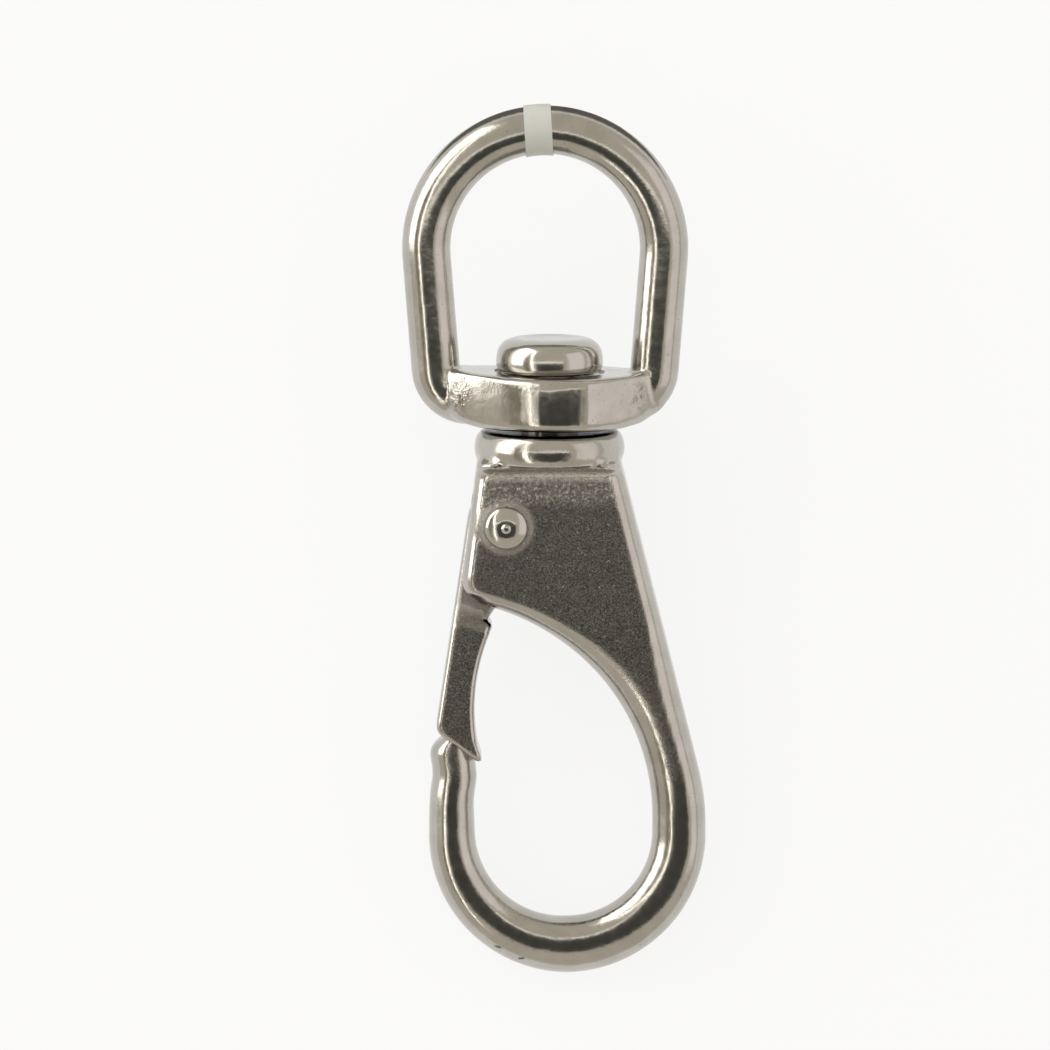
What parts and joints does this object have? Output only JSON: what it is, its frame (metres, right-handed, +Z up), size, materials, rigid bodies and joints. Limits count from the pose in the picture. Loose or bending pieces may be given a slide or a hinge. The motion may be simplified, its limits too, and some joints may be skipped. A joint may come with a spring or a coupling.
{
  "type": "swivel snap hook",
  "caption": "Cast steel snap hook with a sprung gate that swings inward, hung on a D-shaped eye that turns freely on a headed pin.",
  "frame": {"origin": "centre of the underside of the bounding box, with the hook lying on its back", "axes": "+Y from the hook's bend to its eye, +X from the gate to the solid limb, +Z up, out of the hook's front face"},
  "size_m": [0.0312, 0.0896, 0.0161],
  "materials": {
    "cast_steel": "cast stainless steel, tumbled matte on its flats and polished on its rounded edges",
    "polished_steel": "polished stainless steel",
    "spring_wire": "drawn stainless spring wire",
    "band": "thin pale adhesive film"
  },
  "bodies": {
    "hook": {"hook_body": "cast_steel", "swivel_pin": "polished_steel", "gate_pin": "polished_steel", "gate_spring": "spring_wire"},
    "eye": {"swivel_eye": "cast_steel", "eye_band": "band"},
    "gate": {"gate": "cast_steel"}
  },
  "joints": [
    {"name": "swivel", "type": "hinge", "parent": "hook", "child": "eye", "pos_m": [-0.00049, 0.01446, 0.0082], "axis": [0, 0.9954, 0.0956], "continuous": true},
    {"name": "gate_hinge", "type": "hinge", "parent": "hook", "child": "gate", "pos_m": [-0.00494, 0.00182, 0.00699], "axis": [0, -0.0956, 0.9954], "range_deg": [0, 18], "stiffness_Nm_per_rad": 0.01, "springref_deg": -143.24, "deforming": ["gate_spring"]}
  ]
}
